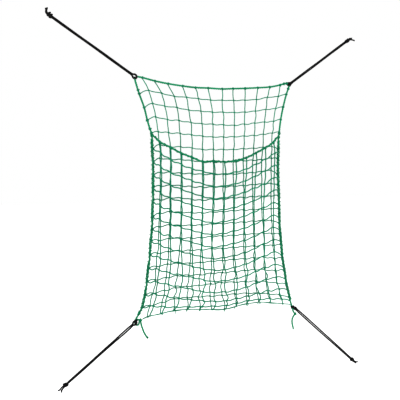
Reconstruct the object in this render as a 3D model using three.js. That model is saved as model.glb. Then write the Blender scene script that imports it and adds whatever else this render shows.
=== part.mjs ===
// Pocket net: a knotted netting panel with border ropes, a sagging front
// pocket and four doubled elastic cords at its corners.
// Millimetres, +X right, +Y to the back of the net, +Z up.
// The origin is the middle of the hung net, in the plane of its back panel.
import * as THREE from 'three';

// ---- driving dimensions -------------------------------------------------
const TWINE = 3.0;          // side of the square bars that stand in for 3.4 mm round twine
const ROPE_R = 3.4;         // border rope radius (6.8 mm, with the twine served round it)
const RIM_R = 3.8;          // pocket rim rope radius, 7.6 mm with its lacing
const EDGE_R = 1.7;         // bottom edge twine radius
const LACE_R = 1.9;          // side lacing line radius
const CORD_R = 2.25;        // elastic cord radius (4.5 mm cord)
const CORD_PITCH = 5.0;     // distance between the two strands of a cord
const TAIL_R = 3.2;         // rope tail radius
const GAP = 0.35;           // clearance between pieces that touch
const FRONT_BASE = 7.0;     // front panel in front of the back panel, everywhere
const KNOT_R = 7.8;         // stopper knot, half width
const KNOT_L = 12.0;        // stopper knot, half length
const TAIL_Y = 2.6;         // the cord's two cut ends part by this much either side of the net's plane
const EDGE_Y = -2.5;        // bottom edge twine's depth

// How far the front panel stands forward of FRONT_BASE: by column, along the
// rim, and the share of it that is left at each row down to the fold.
const BULGE = [9, 14, 20, 25, 29, 31, 32, 32, 31, 29, 24, 15];
const BULGE_SHARE = [1, 0.98, 0.95, 0.9, 0.84, 0.78, 0.7, 0.62, 0.54, 0.46, 0.37, 0.28, 0.18, 0.08];

// The net as it hangs: twelve uprights, by row from the top rope down to the
// fold.  BACK row 0 is on the top rope and row 18 on the bottom edge twine.
// FRONT row 0 is on the pocket's rim rope.
const BACK_X = [
  [-275.5, -231, -183.5, -130.5, -81.5, -33.5, 19.5, 62, 109.5, 161, 210, 253],
  [-253.5, -206.5, -160.5, -116, -71, -24.5, 19.5, 64.5, 110, 156, 200.5, 246],
  [-239.5, -196, -151, -107.5, -62, -18, 23.5, 68, 110, 152, 195, 234.5],
  [-229.5, -186, -144, -98.5, -57.5, -16, 26, 68.5, 108.5, 150, 190, 227.5],
  [-220, -182.5, -140, -97, -55, -15.5, 26, 67.5, 107, 148, 184.5, 221.5],
  [-216, -176, -138, -95, -55, -13.5, 25.5, 65, 106, 146, 184.5, 220.5],
  [-213.5, -175, -135.5, -96, -55, -13, 24.5, 64.5, 105, 144, 180, 220.5],
  [-212, -175, -136, -95.5, -54, -12.5, 25.5, 65.5, 106, 142.5, 179.5, 219],
  [-212.5, -176.5, -136, -95.5, -55, -13.5, 26, 67, 106.5, 143, 181, 219.5],
  [-214.5, -177, -135.5, -96, -55.5, -14, 26, 67, 106.5, 143.5, 180.5, 220],
  [-217, -178.5, -136, -97.5, -56.5, -15, 25.5, 67, 107.5, 145.5, 182.5, 221.5],
  [-218.5, -179, -138, -98.5, -58.5, -18, 24, 66.5, 107.5, 147, 186, 223.5],
  [-221, -181.5, -140.5, -99, -59.5, -19.5, 23, 66.5, 109, 149.5, 190, 226.5],
  [-224.5, -184.5, -143, -102, -60.5, -19, 23, 66, 109.5, 151, 191.5, 230.5],
  [-227.5, -187, -146.5, -103, -63, -20.5, 24, 67.5, 111.5, 152, 192.5, 236],
  [-233, -192.5, -150.5, -108, -63.5, -21, 23, 72, 114, 154.5, 196, 241.5],
  [-241.5, -199, -157.5, -115.5, -68, -22, 21, 70.5, 116, 159.5, 203.5, 249],
  [-252.5, -208.5, -163.5, -113.5, -72, -25, 22, 74, 122, 166.5, 211.5, 259.5],
  [-262.5, -214.5, -167.5, -115.5, -66.5, -19.5, 30.5, 78.5, 121.5, 171, 217.5, 273],
];
const BACK_Z = [
  [427, 417.5, 410.5, 404.5, 400.5, 401, 399.5, 403, 406, 410.5, 414.5, 424],
  [385, 377, 367.5, 366, 362.5, 359, 360.5, 361, 363.5, 367.5, 377.5, 382],
  [340.5, 332.5, 329, 321, 319, 316, 317.5, 317, 319.5, 325, 332.5, 336.5],
  [294.5, 286, 283.5, 277, 274, 273, 271.5, 270.5, 276, 280.5, 285.5, 288.5],
  [243, 240, 238, 233.5, 229, 227, 227.5, 228.5, 232.5, 234.5, 239.5, 244.5],
  [198, 191, 190, 186.5, 181.5, 181.5, 182, 182, 185.5, 187.5, 191, 195],
  [150, 145, 145.5, 142, 137, 136.5, 136.5, 137, 141, 143, 145.5, 150.5],
  [100, 99.5, 96.5, 95, 92, 92, 91.5, 92, 95.5, 96.5, 101, 105],
  [51.5, 55, 51.5, 47.5, 45.5, 45, 45, 47.5, 48.5, 52, 53, 54.5],
  [2, 9.5, 7.5, 2, -2.5, 0.5, 0, 4.5, 3.5, 7, 6.5, 6.5],
  [-45.5, -40, -44, -46, -49, -47, -47, -44, -42, -42.5, -41.5, -41.5],
  [-93.5, -87, -91.5, -91.5, -93, -90.5, -91.5, -88.5, -89, -86, -85, -87],
  [-143, -136.5, -137.5, -139, -140, -137.5, -136, -137, -134.5, -134, -133, -138],
  [-188.5, -184, -184, -184, -185, -182, -184, -181, -182, -180.5, -179, -183.5],
  [-236.5, -229, -229.5, -231.5, -231, -228.5, -229, -227, -227.5, -226, -225, -233.5],
  [-284, -278.5, -274, -275, -277, -274, -274.5, -273.5, -272.5, -271.5, -274, -282.5],
  [-332, -324.5, -318.5, -316, -315.5, -313.5, -312, -314, -314.5, -316.5, -321.5, -330.5],
  [-377, -367.5, -358.5, -358, -358.5, -359, -360, -359.5, -359.5, -363, -368.5, -378],
  [-415.5, -408, -401, -401.5, -406, -410, -413, -406, -400.5, -398.5, -403.5, -413],
];
const FRONT_X = [
  [-218, -182.5, -144, -107, -67, -26.5, 14.5, 59, 100, 139, 179.5, 216],
  [-215.5, -180.5, -142.5, -105, -65.5, -23, 18.5, 60, 101, 140.5, 180, 221.5],
  [-215.5, -182, -142.5, -106, -66, -25, 17, 57.5, 97, 137.5, 179, 220],
  [-214.5, -182.5, -143, -106, -66.5, -26.5, 15, 55.5, 96, 135.5, 176.5, 219.5],
  [-216, -182.5, -142.5, -105.5, -67.5, -26.5, 14, 55, 94.5, 134, 176, 219.5],
  [-217, -181.5, -142, -106.5, -68, -28.5, 13.5, 55.5, 95, 135, 176, 220.5],
  [-218, -182, -143.5, -106, -68, -29, 12.5, 55.5, 97.5, 136.5, 176.5, 221],
  [-218.5, -182.5, -143.5, -104.5, -67.5, -28, 14, 56, 99, 139.5, 179.5, 221.5],
  [-217.5, -181.5, -142.5, -103, -65, -23.5, 19, 59, 102.5, 141.5, 182, 224],
  [-220, -180.5, -140.5, -102, -61, -18, 23, 66, 109, 143.5, 184, 227],
  [-223.5, -184.5, -139.5, -98.5, -57, -16.5, 25.5, 72, 113.5, 148, 188.5, 232],
  [-229, -189.5, -143, -100, -58, -16.5, 27.5, 72, 114.5, 154.5, 194.5, 238],
  [-234.5, -193.5, -150.5, -103, -57, -11.5, 34, 74.5, 121, 164.5, 207, 252],
  [-245, -201.5, -159, -109.5, -59.5, -12, 34.5, 76, 124, 171, 214, 264.5],
];
const FRONT_Z = [
  [206.5, 188, 167.5, 153.5, 137.5, 139.5, 136.5, 141.5, 151.5, 169, 188.5, 208.5],
  [166, 143.5, 125.5, 112, 102, 93.5, 94, 100, 111, 129, 147.5, 167.5],
  [118, 98, 83.5, 69.5, 57.5, 48.5, 50, 57.5, 67.5, 85, 103.5, 122],
  [72, 55, 39.5, 26, 12.5, 4.5, 7, 15.5, 25.5, 41.5, 54.5, 76],
  [24.5, 9, -4.5, -17, -29.5, -38.5, -36.5, -29.5, -19, -6, 9, 28],
  [-19.5, -35, -50, -63.5, -74.5, -83.5, -80, -74, -63, -48.5, -33.5, -17.5],
  [-69.5, -83, -97, -108, -119.5, -127, -124, -116, -107.5, -94.5, -80.5, -65],
  [-115, -128, -139.5, -152, -164, -174, -169, -162.5, -154.5, -140, -124.5, -112],
  [-158.5, -174, -184, -195.5, -207.5, -216.5, -214, -208.5, -200, -186.5, -170.5, -158.5],
  [-204.5, -216, -228, -240, -252, -259, -260.5, -252, -243.5, -231.5, -217.5, -206],
  [-247.5, -260, -271.5, -282, -294, -302, -301.5, -295.5, -288, -274.5, -263, -255],
  [-292, -301.5, -314, -326, -338, -344, -344.5, -340.5, -332.5, -319.5, -309, -304.5],
  [-335.5, -345, -355, -364.5, -372.5, -378.5, -379, -373.5, -368, -360, -354.5, -352.5],
  [-377, -383.5, -387.5, -391, -394, -396.5, -398, -392.5, -386.5, -385.5, -386, -394.5],
];
const LEFT_TIE_Z = [371.5, 325, 283.5, 238.5, 184, 139.5, 92.5, 50, 2.5, -56, -100.5, -141.5, -190.5, -239.5, -287, -335.5, -380];
const RIGHT_TIE_Z = [391, 343, 295.5, 249.5, 185.5, 149.5, 89.5, 48, 9.5, -43, -97.5, -137.5, -180.5, -232.5, -279.5, -336.5, -390.5];
const LEFT_FRONT_TIE_Z = [230, 183, 135, 88.5, 42, -5.5, -58, -102.5, -146, -193.5, -241, -288, -335.5, -380];
const RIGHT_FRONT_TIE_Z = [229, 170.5, 119.5, 73, 27.5, -27, -78.5, -125, -169.5, -222.5, -268.5, -315, -357.5, -403.5];
const LEFT_ROPE = [[-302, 422], [-296, 400], [-287, 371.5], [-270, 325], [-259.5, 283.5], [-251.5, 256], [-244.5, 234.5], [-241, 185.5], [-239, 136.5], [-238.5, 91.5], [-239, 46.5], [-240.5, 2.5], [-242.5, -58], [-245.5, -111], [-249.5, -156], [-253.5, -201.5], [-258.5, -243], [-265, -290.5], [-271.5, -334.5], [-281, -376.5], [-295, -403.5], [-304.5, -418.5]];
const RIGHT_ROPE = [[289.5, 419], [280, 394.5], [267, 347], [256.5, 295.5], [251, 253], [247.5, 223], [245.5, 158.5], [245, 121], [246, 83], [249, 29.5], [251, -9], [253, -66.5], [255.5, -116.5], [261.5, -167], [268, -231.5], [278.5, -286], [288, -340.5], [299, -381], [307, -409.5], [313.5, -427.5]];
const TOP_ROPE = [[-295, 430.5], [-275.5, 428], [-231, 418], [-183.5, 411], [-130.5, 405], [-81.5, 401.5], [-33.5, 402], [19.5, 401], [62, 403.5], [109.5, 406.5], [161, 411], [210, 416], [253, 425], [270.5, 431], [283, 432]];
const RIM_ROPE = [[-237.5, -5, 226.5], [-228, -7, 218.5], [-218, -16, 206.5], [-182.5, -21, 188], [-144, -27, 167.5], [-107, -32, 153.5], [-67, -36, 137.5], [-26.5, -38, 139.5], [14.5, -39, 136.5], [59, -39, 141.5], [100, -38, 151.5], [139, -36, 169], [179.5, -31, 188.5], [216, -22, 208.5], [232, -8, 221.5], [239, -5, 228]];

// Corner centres and the far ends of the elastic cords.
const CORNERS = {
  tl: { at: [-303, 431], ring: [7.5, 2.7], knot: [-581.5, 613.5], tails: [[-598, 639.5], [-590.5, 642.5]] },
  tr: { at: [293.5, 431], ring: [5, 2.5], knot: [540.5, 607.5], tails: [[558.5, 619.5], [574.5, 611]] },
  bl: { at: [-310, -434.5], ring: [6.8, 2.7], knot: [-552.5, -627.5], tails: [[-566.5, -651], [-577.5, -645.5]] },
  br: { at: [328, -436.5], ring: [5, 2.5], knot: [592.5, -673.5], tails: [[618, -685], [612, -690.5]] },
};
const reach = (k) => CORNERS[k].ring[0] + CORNERS[k].ring[1] + 0.7;
// Knots at the bottom corners, and the rope's ends hanging from them.
const LEFT_KNOT = [-290, -424.5];
const RIGHT_KNOT = [326.5, -457.5];
const LEFT_TAIL = [[-288.8, -433.4], [-287.4, -440], [-285.5, -448], [-283, -455], [-277.5, -470.5], [-271, -482.5], [-265.5, -490]];
const RIGHT_TAIL = [[320.6, -464.4], [317, -470], [314.1, -477], [313.4, -489.5], [315.8, -501.8], [318.6, -512.5]];
// How the side ropes turn in to those knots.
const LEFT_TURN = [[-304, -420.8], [-299.8, -422.7]];
const RIGHT_TURN = [[316.6, -437], [318.5, -445.5], [321.5, -451]];

// ---- colours ------------------------------------------------------------
const GREEN = { color: 0x2f8f63, roughness: 0.7, metalness: 0 };
const GREEN_ROPE = { color: 0x1f7f55, roughness: 0.65, metalness: 0 };
const BLACK = { color: 0x161616, roughness: 0.8, metalness: 0 };

const net = new THREE.Group();

function add(name, geometry, look) {
  const mesh = new THREE.Mesh(geometry, new THREE.MeshStandardMaterial(look));
  mesh.name = name;
  net.add(mesh);
  return mesh;
}

const v3 = (x, y, z) => new THREE.Vector3(x, y, z);

// A closed tube of n sides along points.
function tube(points, radius, sides, steps) {
  const shape = new THREE.Shape();
  for (let i = 0; i < sides; i++) {
    const a = (2 * Math.PI * (i + 0.5)) / sides;
    const x = radius * Math.cos(a), y = radius * Math.sin(a);
    if (i === 0) shape.moveTo(x, y); else shape.lineTo(x, y);
  }
  const path = new THREE.CatmullRomCurve3(points, false, 'centripetal');
  return new THREE.ExtrudeGeometry(shape, { steps, extrudePath: path, bevelEnabled: false });
}

const at2 = (p) => v3(p[0], 0, p[1]);

// ---- ropes --------------------------------------------------------------
// Trims a path so that it keeps `reach` from a centre at its start or end.
function trimmed(points, from, to) {
  const path = new THREE.CatmullRomCurve3(points, false, 'centripetal');
  const all = path.getSpacedPoints(1200);
  const keep = all.filter((p) => (!from || p.distanceTo(from.at) >= from.reach) && (!to || p.distanceTo(to.at) >= to.reach));
  const n = Math.max(8, Math.round(keep.length / 40));
  const out = [];
  for (let i = 0; i <= n; i++) out.push(keep[Math.round((i * (keep.length - 1)) / n)]);
  return out;
}
const corner = (k) => at2(CORNERS[k].at);

const leftPath = trimmed([...LEFT_ROPE, ...LEFT_TURN].map(at2), { at: corner('tl'), reach: reach('tl') }, null);
const rightPath = trimmed([...RIGHT_ROPE, ...RIGHT_TURN].map(at2), { at: corner('tr'), reach: reach('tr') }, null);
const topPath = trimmed(TOP_ROPE.map(at2), { at: corner('tl'), reach: reach('tl') }, { at: corner('tr'), reach: reach('tr') });
add('border_rope_left', tube(leftPath, ROPE_R, 8, 60), GREEN_ROPE);
add('border_rope_right', tube(rightPath, ROPE_R, 8, 60), GREEN_ROPE);
add('border_rope_top', tube(topPath, ROPE_R, 8, 22), GREEN_ROPE);

// The x of a rope's centre at a height, and the z of the top rope at an x.
function xOn(path, z) {
  for (let i = 1; i < path.length; i++) {
    const a = path[i - 1], b = path[i];
    if ((a.z - z) * (b.z - z) <= 0 && a.z !== b.z) return a.x + ((b.x - a.x) * (z - a.z)) / (b.z - a.z);
  }
  return (Math.abs(path[0].z - z) < Math.abs(path.at(-1).z - z) ? path[0] : path.at(-1)).x;
}
function zOn(path, x) {
  for (let i = 1; i < path.length; i++) {
    const a = path[i - 1], b = path[i];
    if ((a.x - x) * (b.x - x) <= 0 && a.x !== b.x) return a.z + ((b.z - a.z) * (x - a.x)) / (b.x - a.x);
  }
  return (Math.abs(path[0].x - x) < Math.abs(path.at(-1).x - x) ? path[0] : path.at(-1)).z;
}

// ---- side lacing --------------------------------------------------------
// A lighter line runs down the outer side of each side rope, below the rim
// rope's tie, and holds the front panel's edge to it.
function lacing(path, side, zTop, zBottom) {
  const off = ROPE_R + LACE_R + GAP + 0.1;
  const out = [];
  for (let i = 0; i <= 24; i++) {
    const z = zTop + ((zBottom - zTop) * i) / 24;
    const d = v3(xOn(path, z + 6) - xOn(path, z - 6), 0, 12).normalize();
    out.push(v3(xOn(path, z) + side * off * 0.95 * Math.abs(d.z), -off * 0.33, z - side * off * 0.95 * d.x));
  }
  return out;
}
add('side_lacing_left', tube(lacing(leftPath, -1, 219, -392), LACE_R, 8, 48), GREEN_ROPE);
add('side_lacing_right', tube(lacing(rightPath, 1, 218, -402), LACE_R, 8, 48), GREEN_ROPE);

// ---- bottom edge twine --------------------------------------------------
const edgePoints = [[-281, -421], ...BACK_X[18].map((x, j) => [x, BACK_Z[18][j]]), [303, -418]].map((p) => v3(p[0], EDGE_Y, p[1]));
add('bottom_edge_twine', tube(edgePoints, EDGE_R, 6, 26), GREEN);
const edgePath = new THREE.CatmullRomCurve3(edgePoints, false, 'centripetal').getSpacedPoints(200);

// ---- pocket rim rope ----------------------------------------------------
const TIE_R = 6.0;          // knot that ties the rim rope to a side rope
const tieLeft = v3(xOn(leftPath, 231), 0, 231);
const tieRight = v3(xOn(rightPath, 230), 0, 230);
const rimPoints = RIM_ROPE.map((p) => v3(p[0], p[1], p[2]));
const rimAll = new THREE.CatmullRomCurve3(rimPoints, false, 'centripetal').getSpacedPoints(1000)
  .filter((p) => p.distanceTo(tieLeft) > TIE_R + RIM_R + 3 && p.distanceTo(tieRight) > TIE_R + RIM_R + 3);
const rimPath = [];
for (let i = 0; i <= 22; i++) rimPath.push(rimAll[Math.round((i * (rimAll.length - 1)) / 22)]);
add('pocket_rim_rope', tube(rimPath, RIM_R, 8, 24), GREEN_ROPE);

// ---- netting ------------------------------------------------------------
// Knots are small boxes; each strand is a square bar from one knot's face to
// the next one's, so a whole panel is one closed body.
function netting(knots, ends) {
  const pos = [], idx = [];
  const h = TWINE / 2;
  const vert = (x, y, z) => (pos.push(x, y, z), pos.length / 3 - 1);
  const quad = (a, b, c, d) => idx.push(a, b, c, a, c, d);
  const rows = knots.length, cols = knots[0].length;
  // corner ids of each knot box: index sx*4 + sy*2 + sz, with s = 0 low, 1 high
  const box = knots.map((row) => row.map((k) => {
    const ids = [];
    for (let sx = 0; sx < 2; sx++) for (let sy = 0; sy < 2; sy++) for (let sz = 0; sz < 2; sz++)
      ids.push(vert(k[0] + (sx ? h : -h), k[1] + (sy ? h : -h), k[2] + (sz ? h : -h)));
    return ids;
  }));
  const id = (b, sx, sy, sz) => b[sx * 4 + sy * 2 + sz];
  // faces of a box as loops, in the same order seen from -X, -Z ... so that two
  // loops can be joined one to one
  const faceX = (b, s) => [id(b, s, 0, 0), id(b, s, 1, 0), id(b, s, 1, 1), id(b, s, 0, 1)];
  const faceZ = (b, s) => [id(b, 0, 0, s), id(b, 0, 1, s), id(b, 1, 1, s), id(b, 1, 0, s)];
  // bar from loop p to loop q, loops given in the same sense; out = +1 if the
  // loop's sense, by the right hand, points from p to q
  const bar = (p, q, flip) => {
    for (let i = 0; i < 4; i++) {
      const j = (i + 1) % 4;
      if (flip) quad(p[i], q[i], q[j], p[j]); else quad(p[i], p[j], q[j], q[i]);
    }
  };
  const capLoop = (p, flip) => (flip ? quad(p[3], p[2], p[1], p[0]) : quad(p[0], p[1], p[2], p[3]));
  for (let r = 0; r < rows; r++) for (let c = 0; c < cols; c++) {
    const b = box[r][c];
    // front and back of the knot
    quad(id(b, 0, 0, 0), id(b, 1, 0, 0), id(b, 1, 0, 1), id(b, 0, 0, 1));
    quad(id(b, 0, 1, 0), id(b, 0, 1, 1), id(b, 1, 1, 1), id(b, 1, 1, 0));
    if (c + 1 < cols) bar(faceX(b, 1), faceX(box[r][c + 1], 0), false);
    if (r + 1 < rows) bar(faceZ(b, 0), faceZ(box[r + 1][c], 1), false);
  }
  const endLoopX = (x, y, z) => [[-1, -1], [1, -1], [1, 1], [-1, 1]].map(([sy, sz]) => vert(x, y + sy * h, z + sz * h));
  const endLoopZ = (x, y, z) => [[-1, -1], [-1, 1], [1, 1], [1, -1]].map(([sx, sy]) => vert(x + sx * h, y + sy * h, z));
  for (let r = 0; r < rows; r++) {
    const l = ends.left[r], q = ends.right[r];
    const a = faceX(box[r][0], 0), b = faceX(box[r][cols - 1], 1);
    const la = endLoopX(...l), lb = endLoopX(...q);
    bar(la, a, false); capLoop(la, true);
    bar(b, lb, false); capLoop(lb, false);
  }
  for (let c = 0; c < cols; c++) {
    const a = faceZ(box[0][c], 1), b = faceZ(box[rows - 1][c], 0);
    const ta = endLoopZ(...ends.top[c]), tb = endLoopZ(...ends.bottom[c]);
    bar(ta, a, false); capLoop(ta, true);
    bar(b, tb, false); capLoop(tb, false);
  }
  const g = new THREE.BufferGeometry();
  g.setAttribute('position', new THREE.Float32BufferAttribute(pos, 3));
  g.setIndex(idx);
  return g;
}

const H = TWINE / 2;
// The end of a strand that meets a side rope: clear of it over the strand's height.
function sideEnd(path, side, y, z, r) {
  const xs = [z - H - 1, z, z + H + 1].map((q) => xOn(path, q));
  const x = side < 0 ? Math.max(...xs) : Math.min(...xs);
  return [x - side * (r + 0.25 + GAP), y, z];
}
const backKnots = BACK_X.slice(1, 18).map((row, i) => row.map((x, j) => [x, 0, BACK_Z[i + 1][j]]));
const backEnds = {
  left: LEFT_TIE_Z.map((z) => sideEnd(leftPath, -1, 0, z, ROPE_R)),
  right: RIGHT_TIE_Z.map((z) => sideEnd(rightPath, 1, 0, z, ROPE_R)),
  top: BACK_X[0].map((x) => {
    const z = Math.min(zOn(topPath, x - 2.2), zOn(topPath, x), zOn(topPath, x + 2.2));
    return [x, 0, z - ROPE_R - 0.25 - GAP];
  }),
  bottom: BACK_X[18].map((x) => {
    const z = Math.max(zOn(edgePath, x - 2.2), zOn(edgePath, x), zOn(edgePath, x + 2.2));
    return [x, 0, z + EDGE_R + 0.25 + GAP];
  }),
};
add('back_netting', netting(backKnots, backEnds), GREEN);

const depth = (k, j) => -(FRONT_BASE + BULGE_SHARE[k] * BULGE[j]);
const frontKnots = FRONT_X.slice(1).map((row, i) => row.map((x, j) => [x, depth(i + 1, j), FRONT_Z[i + 1][j]]));
const rimXZ = rimPath;
const frontEnds = {
  left: LEFT_FRONT_TIE_Z.slice(1).map((z) => sideEnd(leftPath, -1, -FRONT_BASE, z, ROPE_R)),
  right: RIGHT_FRONT_TIE_Z.slice(1).map((z) => sideEnd(rightPath, 1, -FRONT_BASE, z, ROPE_R)),
  top: FRONT_X[0].map((x, j) => {
    const z = Math.min(zOn(rimXZ, x - 2.2), zOn(rimXZ, x), zOn(rimXZ, x + 2.2));
    return [x, depth(0, j), z - RIM_R - 0.8 - GAP];
  }),
  bottom: BACK_X[18].map((x, j) => {
    const x2 = FRONT_X[13][j] * 0.35 + x * 0.65;
    const z = Math.max(zOn(edgePath, x2 - 2.2), zOn(edgePath, x2), zOn(edgePath, x2 + 2.2));
    return [x2, -FRONT_BASE, z + EDGE_R + 0.25 + GAP];
  }),
};
add('pocket_netting', netting(frontKnots, frontEnds), GREEN);

// ---- knots --------------------------------------------------------------
// A rounded lump: a lathe about its own Z axis.
function lump(r, l, hole) {
  const pts = [];
  const n = 7;
  if (hole) {
    pts.push(new THREE.Vector2(hole, -l), new THREE.Vector2(r * 0.7, -l), new THREE.Vector2(r, -l * 0.45), new THREE.Vector2(r, l * 0.45), new THREE.Vector2(r * 0.7, l), new THREE.Vector2(hole, l), new THREE.Vector2(hole, -l));
    return new THREE.LatheGeometry(pts, 12);
  }
  for (let i = 0; i <= n; i++) {
    const a = (Math.PI * i) / n - Math.PI / 2;
    pts.push(new THREE.Vector2(Math.max(0, r * Math.cos(a)), l * Math.sin(a)));
  }
  pts[0].x = 0; pts[n].x = 0;
  return new THREE.LatheGeometry(pts, 12);
}
// Places a lathe so that its axis runs along dir, centred at p.
function place(mesh, p, dir) {
  mesh.position.copy(p);
  mesh.quaternion.setFromUnitVectors(v3(0, 1, 0), dir.clone().normalize());
  return mesh;
}

// Ties of the rim rope: collars round the side ropes.
const dirAt = (path, z) => v3(xOn(path, z + 4) - xOn(path, z - 4), 0, 8);
place(add('rim_tie_left', lump(TIE_R, 3.4, ROPE_R + 0.5), GREEN_ROPE), tieLeft, dirAt(leftPath, 231));
place(add('rim_tie_right', lump(TIE_R, 3.4, ROPE_R + 0.5), GREEN_ROPE), tieRight, dirAt(rightPath, 230));

// Overhand knots at the bottom corners, where the border rope's ends come out.
place(add('corner_knot_left', lump(6.2, 7.2), GREEN_ROPE), v3(LEFT_KNOT[0], EDGE_Y, LEFT_KNOT[1]), v3(0.15, 0, -1));
place(add('corner_knot_right', lump(6.2, 7.2), GREEN_ROPE), v3(RIGHT_KNOT[0], EDGE_Y, RIGHT_KNOT[1]), v3(-0.65, 0, -0.76));

// ---- corner hitches, elastic cords, stopper knots -------------------------
for (const [k, c] of Object.entries(CORNERS)) {
  const at = at2(c.at), knot = at2(c.knot);
  const dir = knot.clone().sub(at).normalize();
  const side = v3(-dir.z, 0, dir.x);
  // ring of the hitch, lying in the plane of the net
  const ring = add(`cord_${k}_hitch`, new THREE.TorusGeometry(c.ring[0], c.ring[1], 8, 20), BLACK);
  ring.position.copy(at);
  ring.rotation.x = Math.PI / 2;
  // two strands side by side
  const len = at.distanceTo(knot);
  const s0 = reach(k), s1 = len - KNOT_L - GAP;
  for (const [n, sgn] of [['a', 1], ['b', -1]]) {
    const p = [];
    for (let i = 0; i <= 8; i++) {
      const s = s0 + ((s1 - s0) * i) / 8;
      p.push(at.clone().addScaledVector(dir, s).addScaledVector(side, (sgn * CORD_PITCH) / 2));
    }
    add(`cord_${k}_strand_${n}`, tube(p, CORD_R, 8, 8), BLACK);
  }
  // stopper knot: flat ends where the strands and the tails meet it
  const prof = [[0, -KNOT_L], [KNOT_R * 0.62, -KNOT_L], [KNOT_R, -KNOT_L * 0.45], [KNOT_R, KNOT_L * 0.45], [KNOT_R * 0.62, KNOT_L], [0, KNOT_L]];
  place(add(`cord_${k}_end_knot`, new THREE.LatheGeometry(prof.map((q) => new THREE.Vector2(q[0], q[1])), 12), BLACK), knot, dir);
  // the cord's two cut ends, past the knot
  for (const [i, n] of [[0, 'a'], [1, 'b']]) {
    const y = i ? TAIL_Y : -TAIL_Y;
    const tip = at2(c.tails[i]).setY(y);
    const start = knot.clone().addScaledVector(dir, KNOT_L + GAP).setY(y);
    const q = start.clone().addScaledVector(dir, 3);
    const mid = q.clone().lerp(tip, 0.5);
    add(`cord_${k}_tail_${n}`, tube([start, q, mid, tip], CORD_R, 8, 5), BLACK);
  }
}

// ---- rope tails ---------------------------------------------------------
add('rope_tail_left', tube(LEFT_TAIL.map((p) => v3(p[0], -2.5, p[1])), TAIL_R, 8, 12), GREEN_ROPE);
add('rope_tail_right', tube(RIGHT_TAIL.map((p) => v3(p[0], -2.5, p[1])), TAIL_R, 8, 12), GREEN_ROPE);

export default net;
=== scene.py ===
import math

import bpy
import numpy as np
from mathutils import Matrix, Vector


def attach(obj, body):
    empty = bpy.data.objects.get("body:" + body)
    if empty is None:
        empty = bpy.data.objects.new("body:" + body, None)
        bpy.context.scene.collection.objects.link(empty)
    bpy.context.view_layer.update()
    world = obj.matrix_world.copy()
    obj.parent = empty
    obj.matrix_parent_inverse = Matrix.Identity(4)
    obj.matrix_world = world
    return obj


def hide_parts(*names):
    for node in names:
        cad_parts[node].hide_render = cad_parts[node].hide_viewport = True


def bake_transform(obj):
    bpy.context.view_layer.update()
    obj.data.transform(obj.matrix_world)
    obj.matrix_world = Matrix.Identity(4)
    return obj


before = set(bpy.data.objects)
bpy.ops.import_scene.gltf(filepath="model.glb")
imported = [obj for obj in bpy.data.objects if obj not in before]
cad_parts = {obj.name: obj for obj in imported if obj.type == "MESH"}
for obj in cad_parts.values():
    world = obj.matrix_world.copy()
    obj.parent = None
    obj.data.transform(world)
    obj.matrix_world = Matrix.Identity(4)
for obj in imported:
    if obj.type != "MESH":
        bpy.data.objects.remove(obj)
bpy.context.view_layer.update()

rng = np.random.default_rng(41)
MM = 0.001

# ---- the net as it hangs, in millimetres ----------------------------------
BACK_X = (
    (-275.6, -230.9, -183.3, -130.6, -81.3, -33.6, 19.5, 62.1, 109.7, 160.8, 209.8, 252.8),
    (-253.6, -206.3, -160.5, -115.8, -70.8, -24.7, 19.7, 64.7, 109.9, 156.2, 200.7, 245.8),
    (-239.6, -196.1, -151.1, -107.3, -62.1, -18.1, 23.3, 68.1, 110.2, 152.1, 194.9, 234.6),
    (-229.5, -186.1, -143.8, -98.7, -57.5, -15.8, 25.8, 68.3, 108.5, 150, 190, 227.6),
    (-220.1, -182.3, -139.9, -96.9, -54.8, -15.3, 25.9, 67.7, 107.2, 148, 184.7, 221.5),
    (-216, -176.2, -138.1, -95.1, -55.2, -13.7, 25.7, 65.1, 105.9, 145.9, 184.3, 220.3),
    (-213.3, -174.9, -135.3, -95.9, -55.2, -13.2, 24.7, 64.6, 104.9, 144.2, 179.8, 220.4),
    (-211.8, -175.1, -135.8, -95.5, -54, -12.3, 25.6, 65.6, 106, 142.5, 179.4, 219.2),
    (-212.4, -176.4, -135.9, -95.6, -54.8, -13.4, 25.8, 67, 106.3, 142.8, 181, 219.7),
    (-214.5, -177, -135.6, -96, -55.5, -14.1, 25.9, 67.2, 106.6, 143.6, 180.6, 220.2),
    (-216.9, -178.3, -136.1, -97.6, -56.3, -15.2, 25.7, 67, 107.3, 145.6, 182.3, 221.5),
    (-218.3, -178.8, -137.8, -98.4, -58.6, -17.8, 24.2, 66.4, 107.6, 147.2, 186, 223.3),
    (-220.8, -181.3, -140.5, -99.2, -59.7, -19.3, 22.8, 66.3, 109.1, 149.6, 190.2, 226.3),
    (-224.7, -184.4, -142.9, -102, -60.5, -19.2, 22.9, 66.1, 109.4, 150.8, 191.5, 230.6),
    (-227.6, -186.9, -146.4, -103.2, -62.8, -20.7, 23.9, 67.5, 111.7, 152, 192.7, 235.8),
    (-233, -192.7, -150.7, -107.8, -63.6, -21, 23.2, 72.2, 114, 154.4, 196.1, 241.4),
    (-241.4, -198.8, -157.3, -115.5, -68.2, -21.8, 21, 70.3, 116, 159.3, 203.7, 248.8),
    (-252.6, -208.7, -163.4, -113.3, -72.1, -25.2, 21.9, 74.2, 122, 166.4, 211.4, 259.6),
    (-262.3, -214.4, -167.3, -115.7, -66.3, -19.4, 30.3, 78.7, 121.6, 171, 217.7, 272.9),
)
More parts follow.
